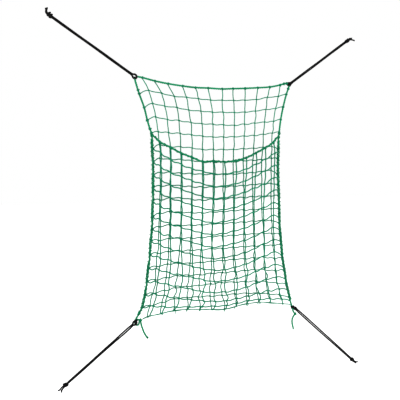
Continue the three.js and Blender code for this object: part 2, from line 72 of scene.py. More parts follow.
BACK_Z = (
    (427.1, 417.5, 410.3, 404.5, 400.6, 400.8, 399.7, 402.9, 406.2, 410.5, 414.7, 424),
    (384.9, 376.8, 367.3, 366.1, 362.4, 359, 360.5, 361, 363.6, 367.4, 377.4, 382),
    (340.6, 332.3, 328.8, 320.9, 319, 316.2, 317.4, 317.1, 319.7, 324.9, 332.4, 336.6),
    (294.5, 285.8, 283.6, 277.1, 274.1, 272.8, 271.4, 270.5, 276, 280.6, 285.5, 288.6),
    (243.1, 239.9, 238.1, 233.7, 229, 227, 227.5, 228.4, 232.3, 234.7, 239.7, 244.3),
    (198, 191, 190.2, 186.6, 181.5, 181.7, 181.9, 182.2, 185.4, 187.5, 190.8, 194.8),
    (149.9, 145, 145.7, 142.1, 137.1, 136.3, 136.3, 136.9, 141, 142.8, 145.4, 150.4),
    (99.8, 99.5, 96.4, 95, 92.2, 91.8, 91.5, 91.9, 95.3, 96.5, 100.8, 105.1),
    (51.6, 55, 51.6, 47.4, 45.6, 45, 44.8, 47.5, 48.4, 52, 52.9, 54.7),
    (1.9, 9.3, 7.3, 2.1, -2.5, 0.6, 0.1, 4.4, 3.5, 6.9, 6.5, 6.4),
    (-45.4, -40.1, -43.9, -46.2, -48.9, -46.8, -46.9, -44.1, -42.2, -42.6, -41.7, -41.3),
    (-93.6, -87.2, -91.7, -91.7, -92.8, -90.3, -91.5, -88.6, -88.9, -85.8, -85.2, -86.9),
    (-143.1, -136.6, -137.4, -139.2, -139.9, -137.3, -136.2, -136.9, -134.6, -134.1, -132.8, -138.2),
    (-188.6, -184.2, -183.9, -184.2, -184.9, -182.2, -184, -181, -182, -180.7, -179.2, -183.5),
    (-236.4, -229.1, -229.4, -231.6, -231.1, -228.7, -229.1, -227.1, -227.4, -226.2, -225.1, -233.7),
    (-283.9, -278.6, -274.2, -274.9, -277.1, -273.9, -274.6, -273.6, -272.5, -271.7, -273.9, -282.3),
    (-331.9, -324.6, -318.5, -316.1, -315.5, -313.6, -312.2, -313.8, -314.4, -316.3, -321.3, -330.4),
    (-376.8, -367.7, -358.5, -357.8, -358.5, -359.2, -359.9, -359.5, -359.4, -362.8, -368.3, -377.9),
    (-415.3, -407.9, -401.1, -401.6, -406.2, -410, -413.2, -405.9, -400.7, -398.3, -403.7, -413.1),
)
FRONT_X = (
    (-218.2, -182.4, -144, -107.2, -67, -26.6, 14.4, 59, 99.8, 139.2, 179.6, 216.1),
    (-215.5, -180.7, -142.5, -105.2, -65.3, -22.8, 18.6, 60.2, 101.1, 140.5, 180.2, 221.6),
    (-215.7, -181.8, -142.4, -106.1, -66.1, -25.1, 16.8, 57.3, 97, 137.7, 179, 220.2),
    (-214.7, -182.5, -143, -105.8, -66.4, -26.3, 14.9, 55.4, 96, 135.5, 176.7, 219.5),
    (-215.9, -182.5, -142.7, -105.7, -67.3, -26.3, 13.8, 54.8, 94.7, 134.2, 176.2, 219.6),
    (-216.8, -181.3, -142.1, -106.4, -67.8, -28.7, 13.6, 55.4, 95, 134.9, 176, 220.5),
    (-217.9, -182, -143.3, -105.8, -68.2, -28.9, 12.7, 55.5, 97.5, 136.7, 176.5, 220.8),
    (-218.7, -182.6, -143.3, -104.5, -67.4, -27.9, 14.2, 56, 98.8, 139.3, 179.5, 221.4),
    (-217.7, -181.3, -142.5, -102.8, -65.1, -23.4, 18.9, 59.2, 102.6, 141.5, 182, 223.8),
    (-219.9, -180.5, -140.7, -101.8, -60.8, -17.8, 23.2, 66, 108.8, 143.3, 184.2, 227),
    (-223.3, -184.4, -139.5, -98.5, -57.2, -16.7, 25.6, 72.2, 113.6, 148.1, 188.5, 232),
    (-228.8, -189.4, -142.8, -100.1, -58.2, -16.4, 27.7, 72, 114.6, 154.6, 194.6, 237.8),
    (-234.3, -193.3, -150.6, -103.2, -56.8, -11.3, 34.2, 74.7, 121.1, 164.5, 207.1, 251.9),
    (-245, -201.6, -158.8, -109.3, -59.7, -12.1, 34.7, 76.1, 123.8, 171.1, 214, 264.7),
)
FRONT_Z = (
    (206.3, 188, 167.5, 153.4, 137.5, 139.3, 136.4, 141.4, 151.6, 169.2, 188.6, 208.7),
    (165.9, 143.6, 125.6, 112.1, 102, 93.5, 93.9, 100.1, 111.1, 128.9, 147.3, 167.5),
    (118, 97.9, 83.6, 69.6, 57.4, 48.7, 49.9, 57.7, 67.3, 84.8, 103.6, 121.9),
    (72.1, 54.9, 39.3, 26.1, 12.6, 4.7, 7.1, 15.7, 25.5, 41.3, 54.5, 75.8),
    (24.5, 8.9, -4.5, -16.9, -29.5, -38.5, -36.3, -29.4, -18.8, -6.2, 9, 28),
    (-19.7, -34.9, -49.9, -63.6, -74.7, -83.6, -79.9, -74, -62.9, -48.7, -33.4, -17.4),
    (-69.4, -83.1, -97, -107.8, -119.5, -127.2, -123.8, -116, -107.4, -94.5, -80.5, -64.9),
    (-115, -128, -139.7, -151.9, -163.9, -174.1, -169.1, -162.6, -154.3, -139.9, -124.6, -111.8),
    (-158.7, -173.8, -184, -195.5, -207.5, -216.3, -214.2, -208.6, -199.8, -186.6, -170.5, -158.7),
    (-204.6, -216.2, -227.9, -240.1, -252.2, -259.2, -260.3, -252.1, -243.5, -231.4, -217.4, -205.8),
    (-247.7, -260, -271.7, -281.8, -293.9, -301.8, -301.7, -295.6, -287.9, -274.7, -263.1, -254.9),
    (-291.9, -301.7, -313.9, -325.9, -338.1, -344.2, -344.6, -340.4, -332.3, -319.6, -308.9, -304.3),
    (-335.5, -345.1, -355.2, -364.3, -372.4, -378.4, -379, -373.6, -367.9, -359.8, -354.4, -352.4),
    (-376.9, -383.4, -387.7, -390.8, -393.8, -396.4, -398.1, -392.4, -386.5, -385.7, -386.2, -394.4),
)
LEFT_TIE_Z = (371.7, 325.2, 283.7, 238.5, 184.2, 139.4, 92.3, 49.9, 2.5, -56, -100.5, -141.4, -190.3, -239.6, -287.1, -335.3, -380)
RIGHT_TIE_Z = (391.1, 343.1, 295.6, 249.3, 185.5, 149.6, 89.3, 47.8, 9.6, -43, -97.3, -137.6, -180.4, -232.5, -279.5, -336.7, -390.3)
LEFT_FRONT_Z = (230.2, 183.1, 134.8, 88.7, 42.2, -5.3, -58.1, -102.6, -146.1, -193.5, -241, -287.8, -335.3, -380)
RIGHT_FRONT_Z = (228.9, 170.4, 119.7, 73, 27.6, -27.2, -78.4, -124.8, -169.5, -222.3, -268.4, -315.2, -357.6, -403.7)
LEFT_ROPE = ((-302, 421.8), (-296.2, 400), (-287, 371.3), (-270, 325.2), (-259.6, 283.7), (-251.6, 256.2), (-244.3, 234.4), (-241, 185.6), (-239.1, 136.6), (-238.7, 91.5), (-239, 46.4), (-240.3, 2.5), (-242.5, -57.8), (-245.4, -111.2), (-249.7, -156), (-253.7, -201.7), (-258.7, -243.1), (-264.8, -290.3), (-271.3, -334.6), (-281.1, -376.5), (-295.1, -403.5), (-304.6, -418.6))
RIGHT_ROPE = ((289.3, 419.2), (280, 394.5), (267.1, 347.2), (256.4, 295.6), (251, 253), (247.6, 222.9), (245.4, 158.7), (245, 120.8), (246.2, 82.9), (248.9, 29.5), (251.1, -8.8), (253, -66.4), (255.7, -116.6), (261.4, -167.2), (268.2, -231.3), (278.3, -286.2), (288, -340.7), (298.9, -381), (307.1, -409.4), (313.5, -427.4))
TOP_ROPE = ((-294.9, 430.3), (-275.6, 427.8), (-230.9, 418.2), (-183.3, 411), (-130.5, 405.2), (-81.3, 401.7), (-33.6, 401.8), (19.5, 400.8), (62.1, 403.6), (109.7, 406.6), (160.8, 410.9), (209.8, 415.8), (252.8, 425.1), (270.7, 431), (282.8, 432))
RIM_ROPE = ((-237.6, -5, 226.6), (-228.1, -7, 218.3), (-218.2, -16, 206.3), (-182.4, -21, 188), (-144, -27, 167.5), (-107.2, -32, 153.4), (-67, -36, 137.5), (-26.6, -38, 139.3), (14.4, -39, 136.4), (59, -39, 141.4), (99.8, -38, 151.6), (139.2, -36, 169.2), (179.6, -31, 188.6), (216.1, -22, 208.7), (231.9, -8, 221.3), (239.2, -5, 227.9))
BULGE = (9, 14, 20, 25, 29, 31, 32, 32, 31, 29, 24, 15)
BULGE_SHARE = (1, 0.98, 0.95, 0.9, 0.84, 0.78, 0.7, 0.62, 0.54, 0.46, 0.37, 0.28, 0.18, 0.08)
FRONT_BASE = 7.0
CORNERS = {
    "tl": {"at": (-303, 431), "ring": 7.0, "knot": (-581.5, 613.5), "gap": (2.12, 2.12), "tails": ((-594.5, 635.5), (-589.0, 638.0))},
    "tr": {"at": (293.5, 431), "ring": 4.4, "knot": (540.5, 607.5), "gap": (2.3, 2.3), "tails": ((558.5, 619.5), (574.5, 611))},
    "bl": {"at": (-310, -434.5), "ring": 6.4, "knot": (-552.5, -627.5), "gap": (3.4, 2.3), "tails": ((-566.5, -651), (-577.5, -645.5))},
    "br": {"at": (328, -436.5), "ring": 4.6, "knot": (592.5, -673.5), "gap": (3.2, 2.4), "tails": ((618, -685), (612, -690.5))},
}
LEFT_KNOT = (-290, -424.5)
RIGHT_KNOT = (326.5, -457.5)
LEFT_TAIL = ((-288.8, -433.4), (-287.4, -440), (-285.5, -448), (-283, -455), (-277.5, -470.5), (-271, -482.5), (-265.5, -490))
RIGHT_TAIL = ((320.6, -464.4), (317, -470), (314.1, -477), (313.4, -489.5), (315.8, -501.8), (318.6, -512.5))
LEFT_TURN = ((-304, -420.8), (-298.8, -423))
RIGHT_TURN = ((316.6, -437), (318.5, -445.5), (321.5, -451))
EDGE_Y = -2.5
CORD_R = 2.25

# ---- camera -----------------------------------------------------------------
cam_data = bpy.data.cameras.new("camera")
cam_data.sensor_width = 36
cam_data.lens = 49.5
cam_data.clip_start = 0.01
cam = bpy.data.objects.new("camera", cam_data)
bpy.context.scene.collection.objects.link(cam)
cam.location = (-0.6984, -1.8917, 0.1436)
cam.rotation_euler = (Vector((-0.0655, 0, -0.0015)) - cam.location).to_track_quat("-Z", "Y").to_euler()
bpy.context.scene.camera = cam


# ---- paths ------------------------------------------------------------------
def resample(q, step):
    d = np.r_[0, np.cumsum(np.linalg.norm(np.diff(q, axis=0), axis=1))]
    n = max(3, int(round(d[-1] / step)) + 1)
    s = np.linspace(0, d[-1], n)
    return np.stack([np.interp(s, d, q[:, k]) for k in range(3)], 1)


def spline(points, step, closed=False):
    """A smooth line through points, in millimetres, with points step apart."""
    p = np.asarray([(a[0], 0.0, a[1]) if len(a) == 2 else a for a in points], float)
    if closed:
        a = np.vstack([p[-1], p, p[0], p[1]])
    else:
        a = np.vstack([2 * p[0] - p[1], p, 2 * p[-1] - p[-2]])
    out = []
    for i in range(1, len(a) - 2):
        p0, p1, p2, p3 = a[i - 1 : i + 3]
        t0 = 0.0
        t1 = t0 + max(np.linalg.norm(p1 - p0), 1e-6) ** 0.5
        t2 = t1 + max(np.linalg.norm(p2 - p1), 1e-6) ** 0.5
        t3 = t2 + max(np.linalg.norm(p3 - p2), 1e-6) ** 0.5
        t = np.linspace(t1, t2, 20, endpoint=False)[:, None]
        a1 = (t1 - t) / (t1 - t0) * p0 + (t - t0) / (t1 - t0) * p1
        a2 = (t2 - t) / (t2 - t1) * p1 + (t - t1) / (t2 - t1) * p2
        a3 = (t3 - t) / (t3 - t2) * p2 + (t - t2) / (t3 - t2) * p3
        b1 = (t2 - t) / (t2 - t0) * a1 + (t - t0) / (t2 - t0) * a2
        b2 = (t3 - t) / (t3 - t1) * a2 + (t - t1) / (t3 - t1) * a3
        out.append((t2 - t) / (t2 - t1) * b1 + (t - t1) / (t2 - t1) * b2)
    out.append(a[-2:-1])
    return resample(np.vstack(out), step)


def turned(points):
    """Tangent, normal and binormal along a line, turning as little as possible."""
    p = np.asarray(points)
    t = np.gradient(p, axis=0)
    t /= np.linalg.norm(t, axis=1)[:, None] + 1e-12
    ref = np.array((0.0, 1.0, 0.0))
    if abs(t[0] @ ref) > 0.9:
        ref = np.array((1.0, 0.0, 0.0))
    n = np.empty_like(t)
    v = ref - (ref @ t[0]) * t[0]
    n[0] = v / np.linalg.norm(v)
    for i in range(1, len(t)):
        v = n[i - 1] - (n[i - 1] @ t[i]) * t[i]
        n[i] = v / (np.linalg.norm(v) + 1e-12)
    return t, n, np.cross(t, n)


# Sections: how far each side of a tube stands out, as a share of its radius.
def laid(lobes, per):
    """The outline of strands twisted together."""
    out = []
    for k in range(lobes * per):
        a = ((k % per) / per - 0.5) * 2 * math.pi / lobes
        d, r = 0.54, 0.47
        rad = d * math.cos(a) + math.sqrt(max(r * r - (d * math.sin(a)) ** 2, 0))
        out.append(max(rad, 0.70))
    return np.array(out)


TWINE = np.array([0.70, 1.0, 1.0] * 3)
ROPE = laid(3, 6)
ROUND = np.ones(12)
BRAID = np.ones(16)


class Build:
    """Tubes that end up in one mesh."""

    def __init__(self):
        self.v, self.q, self.caps, self.uv, self.capuv, self.tone, self.mat, self.capmat = [], [], [], [], [], [], [], []
        self.n = 0

    def tube(self, path, radius, section=ROUND, lay=None, tone=0.5, ends=(0, 0), mat=0, braid=None, spin=0.0, wobble=0.0):
        """path in millimetres. lay is the length of one turn of the twist. ends are the lengths over which it rounds off."""
        p = np.asarray(path, float)
        t, nn, bb = turned(p)
        s = np.r_[0, np.cumsum(np.linalg.norm(np.diff(p, axis=0), axis=1))]
        m = len(section)
        k = np.arange(m)
        ang = 2 * math.pi * k[None, :] / m + spin + (2 * math.pi * s[:, None] / lay if lay else 0)
        rad = np.broadcast_to(section[None, :], (len(p), m)) * (radius if np.isscalar(radius) else np.asarray(radius)[:, None])
        if braid:
            rad = rad * (1 + 0.055 * np.cos(math.pi * k[None, :]) * np.cos(2 * math.pi * s[:, None] / braid))
        if wobble:
            ph = rng.uniform(0, 6.28, 3)
            rad = rad * (1 + wobble * (np.sin(s / 7.3 + ph[0]) + np.sin(s / 3.1 + ph[1]) * 0.6 + np.sin(s / 17.0 + ph[2])))[:, None]
        for e, dist in ((ends[0], s), (ends[1], s[-1] - s)):
            if e:
                x = np.clip(1 - dist / e, 0, 1)
                rad = rad * np.sqrt(np.maximum(1 - (x * 0.88) ** 2, 0.05))[:, None]
        v = p[:, None, :] + rad[..., None] * (np.cos(ang)[..., None] * nn[:, None, :] + np.sin(ang)[..., None] * bb[:, None, :])
        self.v.append(v.reshape(-1, 3))
        r = np.arange(len(p) - 1)[:, None] * m
        k2 = (k + 1) % m
        q = np.stack([r + k, r + k2, r + m + k2, r + m + k], -1).reshape(-1, 4) + self.n
        self.q.append(q)
        u0, u1 = k / m, (k + 1) / m
        v0, v1 = s[:-1, None] / 10.0, s[1:, None] / 10.0
        o = np.zeros((len(p) - 1, m))
        self.uv.append(np.stack([np.stack([o + u0, o + v0], -1), np.stack([o + u1, o + v0], -1), np.stack([o + u1, o + v1], -1), np.stack([o + u0, o + v1], -1)], 2).reshape(-1, 2))
        self.caps.append((k[::-1] + self.n).copy())
        self.caps.append(k + self.n + (len(p) - 1) * m)
        for j, kk in ((0, k[::-1]), (1, k)):
            self.capuv.append(np.stack([kk / m, np.full(m, s[-1] / 10.0 * j)], 1))
            self.capmat.append(mat)
        self.mat.append(np.full(len(q), mat))
        self.tone.append(np.full(len(p) * m, tone))
        self.n += len(p) * m

    def make(self, name, materials):
        v = np.vstack(self.v) * MM
        q = np.vstack(self.q)
        mesh = bpy.data.meshes.new(name)
        mesh.vertices.add(len(v))
        mesh.vertices.foreach_set("co", v.astype(np.float32).ravel())
        loops = np.concatenate([q.ravel()] + self.caps)
        start = np.concatenate([np.arange(len(q)) * 4, len(q) * 4 + np.r_[0, np.cumsum([len(c) for c in self.caps])[:-1]]])
        mesh.loops.add(len(loops))
        mesh.loops.foreach_set("vertex_index", loops.astype(np.int32))
        mesh.polygons.add(len(start))
        mesh.polygons.foreach_set("loop_start", start.astype(np.int32))
        mesh.polygons.foreach_set("material_index", np.concatenate(self.mat + [np.array(self.capmat)]).astype(np.int32))
        uv = mesh.uv_layers.new(name="Lay")
        uv.data.foreach_set("uv", np.vstack(self.uv + self.capuv).astype(np.float32).ravel())
        at = mesh.attributes.new("tone", "FLOAT", "POINT")
        at.data.foreach_set("value", np.concatenate(self.tone).astype(np.float32))
        mesh.update(calc_edges=True)
        mesh.validate()
        mesh.shade_smooth()
        for m in materials:
            mesh.materials.append(m)
        o = bpy.data.objects.new(name, mesh)
        bpy.context.scene.collection.objects.link(o)
        return o


# ---- materials --------------------------------------------------------------
class Nodes:
    def __init__(self, name):
        self.m = bpy.data.materials.new(name)
        self.m.use_nodes = True
        self.t = self.m.node_tree
        self.b = self.t.nodes["Principled BSDF"]

    def add(self, kind, **inputs):
        n = self.t.nodes.new(kind)
        for key, value in inputs.items():
            if key.startswith("_"):
                setattr(n, key[1:], value)
        return n

    def link(self, a, b):
        self.t.links.new(a, b)

    def math(self, op, a, b=None, c=None, clamp=False):
        n = self.t.nodes.new("ShaderNodeMath")
        n.operation = op
        n.use_clamp = clamp
        for i, x in enumerate((a, b, c)):
            if x is None:
                continue
            if isinstance(x, (int, float)):
                n.inputs[i].default_value = x
            else:
                self.link(x, n.inputs[i])
        return n.outputs[0]

    def noise(self, scale, detail=3, rough=0.55, vector=None):
        n = self.t.nodes.new("ShaderNodeTexNoise")
        n.inputs["Scale"].default_value = scale
        n.inputs["Detail"].default_value = detail
        n.inputs["Roughness"].default_value = rough
        if vector is None:
            if not hasattr(self, "coord"):
                self.coord = self.t.nodes.new("ShaderNodeTexCoord")
            vector = self.coord.outputs["Object"]
        self.link(vector, n.inputs["Vector"])
        return n.outputs["Fac"]

    def ramp(self, fac, stops):
        n = self.t.nodes.new("ShaderNodeValToRGB")
        while len(n.color_ramp.elements) < len(stops):
            n.color_ramp.elements.new(0.5)
        for e, (pos, col) in zip(n.color_ramp.elements, stops):
            e.position = pos
            e.color = (*col, 1) if len(col) == 3 else col
        self.link(fac, n.inputs[0])
        return n.outputs[0]

    def mix(self, fac, a, b, blend="MIX"):
        n = self.t.nodes.new("ShaderNodeMix")
        n.data_type = "RGBA"
        n.blend_type = blend
        for sock, x in ((n.inputs[0], fac), (n.inputs[6], a), (n.inputs[7], b)):
            if isinstance(x, (int, float)):
                sock.default_value = x
            elif isinstance(x, tuple):
                sock.default_value = (*x, 1)
            else:
                self.link(x, sock)
        return n.outputs[2]

    def uv(self):
        n = self.t.nodes.new("ShaderNodeUVMap")
        n.uv_map = "Lay"
        sep = self.t.nodes.new("ShaderNodeSeparateXYZ")
        self.link(n.outputs[0], sep.inputs[0])
        return sep.outputs[0], sep.outputs[1], n.outputs[0]

    def tone(self):
        n = self.t.nodes.new("ShaderNodeAttribute")
        n.attribute_name = "tone"
        return n.outputs["Fac"]

    def bump(self, height, strength, distance, normal=None):
        n = self.t.nodes.new("ShaderNodeBump")
        n.inputs["Strength"].default_value = strength
        n.inputs["Distance"].default_value = distance
        self.link(height, n.inputs["Height"])
        if normal is not None:
            self.link(normal, n.inputs["Normal"])
        return n.outputs[0]


def laid_material(name, dark, mid, light, lobes, fibres, rough):
    """Twisted fibre: the grooves between the strands are painted darker and the crowns lighter, as painted shade and
    painted highlight, with fine fibres lying along each.
    """
    n = Nodes(name)
    u, v, uv = n.uv()
    groove = n.math("PINGPONG", n.math("MULTIPLY", u, lobes), 0.5)   # 0 in the groove, 0.5 on the crown
    groove_painted_shade_and_bump = n.math("MULTIPLY", groove, 2.0)
    comb = n.t.nodes.new("ShaderNodeCombineXYZ")
    n.link(n.math("MULTIPLY", u, lobes * fibres), comb.inputs[0])
    n.link(n.math("MULTIPLY", v, 2.2), comb.inputs[1])
    fibre = n.noise(1.0, 2, 0.6, comb.outputs[0])
    broad = n.noise(9.0, 2)
    fine = n.noise(320.0, 3)
    tone = n.tone()
    # the groove mask darkens the colour between the strands: painted shade, with the crowns left lighter as a painted
    # highlight
    shade = n.math("ADD", n.math("MULTIPLY", fibre, 0.45), n.math("MULTIPLY", groove_painted_shade_and_bump, 0.35))
    shade = n.math("ADD", shade, n.math("MULTIPLY", n.math("SUBTRACT", broad, 0.5), 0.35))
    shade = n.math("ADD", shade, n.math("MULTIPLY", n.math("SUBTRACT", tone, 0.5), 0.35), clamp=True)
    colour = n.ramp(shade, [(0.08, dark), (0.45, mid), (0.85, light)])
    n.link(colour, n.b.inputs["Base Color"])
    r = n.math("ADD", n.math("MULTIPLY", fine, 0.22), rough, clamp=True)
    n.link(r, n.b.inputs["Roughness"])
    height = n.math("ADD", n.math("MULTIPLY", n.math("POWER", groove_painted_shade_and_bump, 0.6), 0.7), n.math("MULTIPLY", fibre, 0.35))
    n.link(n.bump(height, 0.55, 0.0004), n.b.inputs["Normal"])
    n.b.inputs["Specular IOR Level"].default_value = 0.22
    n.b.inputs["Sheen Weight"].default_value = 0.03
    n.b.inputs["Sheen Roughness"].default_value = 0.5
    return n.m


def braid_material(name, dark, mid, light, rough=0.62):
    """Braided cover of an elastic cord: small lozenges of parallel threads, with painted shade in the gaps between
    lozenges and between threads.
    """
    n = Nodes(name)
    u, v, uv = n.uv()
    a = n.math("ADD", n.math("MULTIPLY", u, 8.0), n.math("MULTIPLY", v, 3.3))
    b = n.math("SUBTRACT", n.math("MULTIPLY", u, 8.0), n.math("MULTIPLY", v, 3.3))
    pa = n.math("PINGPONG", a, 0.5)
    pb = n.math("PINGPONG", b, 0.5)
    weave = n.math("MULTIPLY", n.math("MULTIPLY", pa, 2.0), n.math("MULTIPLY", pb, 2.0))
    threads = n.math("PINGPONG", n.math("MULTIPLY", a, 3.0), 0.5)
    fuzz = n.noise(700.0, 3)
    broad = n.noise(30.0, 2)
    tone = n.tone()
    # weave and threads darken the colour where lozenges and threads meet: painted shade in the gaps, with the lozenge
    # tops left lighter
    shade = n.math("ADD", n.math("MULTIPLY", weave, 0.5), n.math("MULTIPLY", threads, 0.35))
    shade = n.math("ADD", shade, n.math("MULTIPLY", n.math("SUBTRACT", fuzz, 0.5), 0.5))
    shade = n.math("ADD", shade, n.math("MULTIPLY", n.math("SUBTRACT", broad, 0.5), 0.3))
    shade = n.math("ADD", shade, n.math("MULTIPLY", n.math("SUBTRACT", tone, 0.5), 0.5), clamp=True)
    n.link(n.ramp(shade, [(0.05, dark), (0.5, mid), (0.95, light)]), n.b.inputs["Base Color"])
    n.link(n.math("ADD", n.math("MULTIPLY", fuzz, 0.25), rough - 0.12, clamp=True), n.b.inputs["Roughness"])
    n.link(n.bump(n.math("ADD", weave, n.math("MULTIPLY", threads, 0.3)), 0.6, 0.0004), n.b.inputs["Normal"])
    n.b.inputs["Specular IOR Level"].default_value = 0.2
    n.b.inputs["Sheen Weight"].default_value = 0.03
    return n.m


def core_material(name, a, b):
    """Cut end of an elastic cord: many rubber threads, seen end on, with painted shade in the gaps between them."""
    n = Nodes(name)
    vor = n.t.nodes.new("ShaderNodeTexVoronoi")
    vor.inputs["Scale"].default_value = 1600.0
    co = n.t.nodes.new("ShaderNodeTexCoord")
    n.link(co.outputs["Object"], vor.inputs["Vector"])
    # light thread ends fading to dark at their edges: painted shade between the threads
    n.link(n.ramp(vor.outputs["Distance"], [(0.2, a), (0.7, b)]), n.b.inputs["Base Color"])
    n.link(n.math("ADD", n.math("MULTIPLY", n.noise(500.0), 0.3), 0.55), n.b.inputs["Roughness"])
    n.link(n.bump(vor.outputs["Distance"], 0.5, 0.0003), n.b.inputs["Normal"])
    return n.m


# dark stops: painted shade in the grooves; light stops: painted highlight on the crowns; both mixed with the fibre's
# own random tone
TWINE_GREEN = laid_material("twine_green", (0.003, 0.150, 0.078), (0.010, 0.305, 0.170), (0.065, 0.500, 0.315), 3, 5, 0.45)
ROPE_GREEN = laid_material("rope_green", (0.002, 0.140, 0.062), (0.005, 0.300, 0.142), (0.045, 0.490, 0.270), 3, 9, 0.42)
BLACK = braid_material("elastic_black", (0.003, 0.003, 0.003), (0.010, 0.010, 0.011), (0.028, 0.028, 0.030))
# a lighter grey copy of the black braid: painted highlight where the sheath catches light
GREY = braid_material("elastic_black_painted_highlight", (0.006, 0.006, 0.006), (0.030, 0.030, 0.031), (0.115, 0.115, 0.118))
CORE = core_material("elastic_core", (0.30, 0.29, 0.27), (0.06, 0.06, 0.06))
MELT = laid_material("twine_melted", (0.006, 0.035, 0.022), (0.016, 0.085, 0.052), (0.04, 0.16, 0.10), 3, 2, 0.25)


# ---- elastic cords ----------------------------------------------------------
def xz(p, y=0.0):
    return np.array((p[0], y, p[1]), float)


CORD_PARTS = {}
for key, c in CORNERS.items():
    at, end = xz(c["at"]), xz(c["knot"])
    length = np.linalg.norm(end - at)
    d = (end - at) / length
    side = np.array((-d[2], 0.0, d[0]))
    ydir = np.array((0.0, 1.0, 0.0))
    reach = {"tl": 10.9, "tr": 12.2, "bl": 10.2, "br": 8.2}[key]
    s0, s1 = reach - 1.2, length - 10.0
    c["r"] = {"tl": 2.34, "tr": 2.34, "bl": 2.52, "br": 2.58}[key]
    c.update(d=d, side=side, len=length, s0=s0, s1=s1)
    c["strands"] = []
    for n, sign in (("a", 1), ("b", -1)):
        s = np.linspace(s0, s1, 40)
        f = (s - s0) / (s1 - s0)
        g0, g1 = c["gap"]
        g = g0 + (g1 - g0) * np.clip((f - (0.16 if key == "bl" else 0.6)) / (0.12 if key == "bl" else 0.25), 0, 1)
        g = np.where(f < 0.06, 2.3 + (g0 - 2.3) * f / 0.06, g)
        turn = {"bl": 0.5, "tl": 0.2, "tr": 0.25, "br": 0.35}[key] * np.clip((f - 0.7) / 0.3, 0, 1) ** 1.2
        sway = 0.35 * np.sin(f * 9 + (0 if sign > 0 else 1.4)) * np.sin(f * math.pi)
        pts = at + d * s[:, None] + sign * (side * (g * np.cos(turn))[:, None] + ydir * (g * np.sin(turn))[:, None]) + side * sway[:, None]
        path = spline(pts, 0.75)
        b = Build()
        lower_corner = key == "br" or key == "bl"
        # the bottom-right strands take the lighter copy and a higher tone: painted highlight
        b.tube(path, c["r"], BRAID, braid=3.0, tone=0.5 if key != "br" else 0.6, spin=rng.uniform(0, 6))
        o = b.make(f"elastic_{key}_{n}", [GREY if key == "br" else BLACK])
        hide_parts(f"cord_{key}_strand_{n}")
        c["strands"].append((o, path))


def on(key, along, across, y=0.0):
    c = CORNERS[key]
    return xz(c["at"]) + c["d"] * along + c["side"] * across + np.array((0, y, 0.0))


def trefoil(centre, axis, scale, squash, turns=1.0, n=44, roll=0.0, lean=0.0):
    """A tight overhand knot round an axis."""
    axis = np.asarray(axis, float)
    axis /= np.linalg.norm(axis)
    ref = np.array((0.0, 1.0, 0.0)) if abs(axis[1]) < 0.9 else np.array((1.0, 0, 0))
    u = ref - (ref @ axis) * axis
    u /= np.linalg.norm(u)
    w = np.cross(axis, u)
    u, w = u * math.cos(roll) + w * math.sin(roll), w * math.cos(roll) - u * math.sin(roll)
    t = np.linspace(lean, lean + 2 * math.pi * 0.985 * turns, n)
    x = np.sin(t) + 2 * np.sin(2 * t)
    z = np.cos(t) - 2 * np.cos(2 * t)
    y = -np.sin(3 * t)
    return np.asarray(centre) + scale * (x[:, None] * u + z[:, None] * w) + squash * y[:, None] * axis


